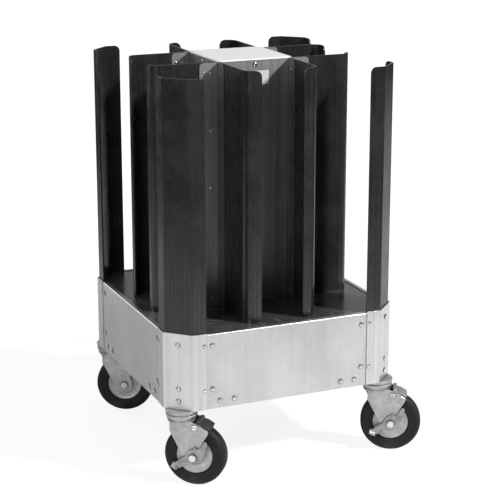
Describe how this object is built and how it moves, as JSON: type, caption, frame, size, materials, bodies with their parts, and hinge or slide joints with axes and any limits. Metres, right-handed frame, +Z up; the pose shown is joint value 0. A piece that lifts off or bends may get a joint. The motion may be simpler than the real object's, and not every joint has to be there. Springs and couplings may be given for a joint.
{
  "type": "plate dispenser cart",
  "caption": "Square stacking cart: riveted aluminium base box with a deck, centre column with curled black dividers, black corner posts and swivel casters.",
  "frame": {"origin": "on the floor under the middle of the whole cart's outline, with its casters trailing as in the picture", "axes": "+X along the front to the right, +Y to the back, +Z up"},
  "size_m": [0.562, 0.5412, 0.827],
  "materials": {
    "panel": "mill finish, satin",
    "corner": "extruded, satin",
    "column": "satin",
    "cap": "white, smooth",
    "rivet": "bright",
    "deck": "black, scuffed",
    "black_plastic": "black, satin",
    "zinc": "zinc plated, dull",
    "bright_steel": "bright",
    "wheel_core": "smooth",
    "tyre": "matt rubber",
    "treadle": "dark, satin"
  },
  "bodies": {
    "base": {"panel_front": "panel", "panel_back": "panel", "panel_left": "panel", "panel_right": "panel", "corner_fl": "corner", "wing_fl": "column", "post_fl": "black_plastic", "stem_fl": "zinc", "corner_fr": "corner", "wing_fr": "column", "post_fr": "black_plastic", "stem_fr": "zinc", "corner_bl": "corner", "wing_bl": "column", "post_bl": "black_plastic", "stem_bl": "zinc", "corner_br": "corner", "wing_br": "column", "post_br": "black_plastic", "stem_br": "zinc", "deck": "deck", "deck_ledges": "column", "caster_pads": "zinc", "panel_rivets": "rivet", "corner_rivets": "rivet", "column_faces": "column", "cap": "cap", "column_rivets": "rivet", "blank_plate": "cap", "stem_nuts": "zinc", "divider_front_left": "black_plastic", "divider_front_right": "black_plastic", "divider_back_left": "black_plastic", "divider_back_right": "black_plastic", "divider_left_front": "black_plastic", "divider_left_back": "black_plastic", "divider_right_front": "black_plastic", "divider_right_back": "black_plastic"},
    "fork_fl": {"fork_fl": "zinc", "axle_fl": "bright_steel"},
    "wheel_fl": {"wheel_core_fl": "wheel_core", "tyre_fl": "tyre"},
    "fork_fr": {"fork_fr": "zinc", "axle_fr": "bright_steel"},
    "wheel_fr": {"wheel_core_fr": "wheel_core", "tyre_fr": "tyre"},
    "fork_bl": {"fork_bl": "zinc", "axle_bl": "bright_steel"},
    "wheel_bl": {"wheel_core_bl": "wheel_core", "tyre_bl": "tyre"},
    "fork_br": {"fork_br": "zinc", "axle_br": "bright_steel"},
    "wheel_br": {"wheel_core_br": "wheel_core", "tyre_br": "tyre"},
    "treadle_fl": {"treadle_fl": "treadle"},
    "side_lever_fl": {"side_lever_fl": "zinc"},
    "treadle_fr": {"treadle_fr": "treadle"},
    "side_lever_fr": {"side_lever_fr": "zinc"}
  },
  "joints": [
    {"name": "swivel_fl", "type": "hinge", "parent": "base", "child": "fork_fl", "pos_m": [-0.2469, -0.20408, 0.158], "axis": [0, 0, 1], "continuous": true},
    {"name": "wheel_spin_fl", "type": "hinge", "parent": "fork_fl", "child": "wheel_fl", "pos_m": [-0.22326, -0.22255, 0.0635], "axis": [0.6157, 0.788, 0], "continuous": true},
    {"name": "treadle_press_fl", "type": "hinge", "parent": "fork_fl", "child": "treadle_fl", "pos_m": [-0.22076, -0.22451, 0.12637], "axis": [0.6157, 0.788, 0], "range_deg": [0, 5]},
    {"name": "side_lever_turn_fl", "type": "hinge", "parent": "fork_fl", "child": "side_lever_fl", "pos_m": [-0.22326, -0.22255, 0.0635], "axis": [0.6157, 0.788, 0], "range_deg": [-25, 0]},
    {"name": "swivel_fr", "type": "hinge", "parent": "base", "child": "fork_fr", "pos_m": [0.1941, -0.20408, 0.158], "axis": [0, 0, 1], "continuous": true},
    {"name": "wheel_spin_fr", "type": "hinge", "parent": "fork_fr", "child": "wheel_fr", "pos_m": [0.22059, -0.21816, 0.0635], "axis": [0.4695, 0.8829, 0], "continuous": true},
    {"name": "treadle_press_fr", "type": "hinge", "parent": "fork_fr", "child": "treadle_fr", "pos_m": [0.22339, -0.21965, 0.12637], "axis": [0.4695, 0.8829, 0], "range_deg": [0, 5]},
    {"name": "side_lever_turn_fr", "type": "hinge", "parent": "fork_fr", "child": "side_lever_fr", "pos_m": [0.22059, -0.21816, 0.0635], "axis": [0.4695, 0.8829, 0], "range_deg": [-25, 0]},
    {"name": "swivel_bl", "type": "hinge", "parent": "base", "child": "fork_bl", "pos_m": [-0.2469, 0.23692, 0.158], "axis": [0, 0, 1], "continuous": true},
    {"name": "wheel_spin_bl", "type": "hinge", "parent": "fork_bl", "child": "wheel_bl", "pos_m": [-0.21994, 0.22377, 0.0635], "axis": [0.4384, 0.8988, 0], "continuous": true},
    {"name": "swivel_br", "type": "hinge", "parent": "base", "child": "fork_br", "pos_m": [0.1941, 0.23692, 0.158], "axis": [0, 0, 1], "continuous": true},
    {"name": "wheel_spin_br", "type": "hinge", "parent": "fork_br", "child": "wheel_br", "pos_m": [0.22059, 0.22284, 0.0635], "axis": [0.4695, 0.8829, 0], "continuous": true}
  ]
}
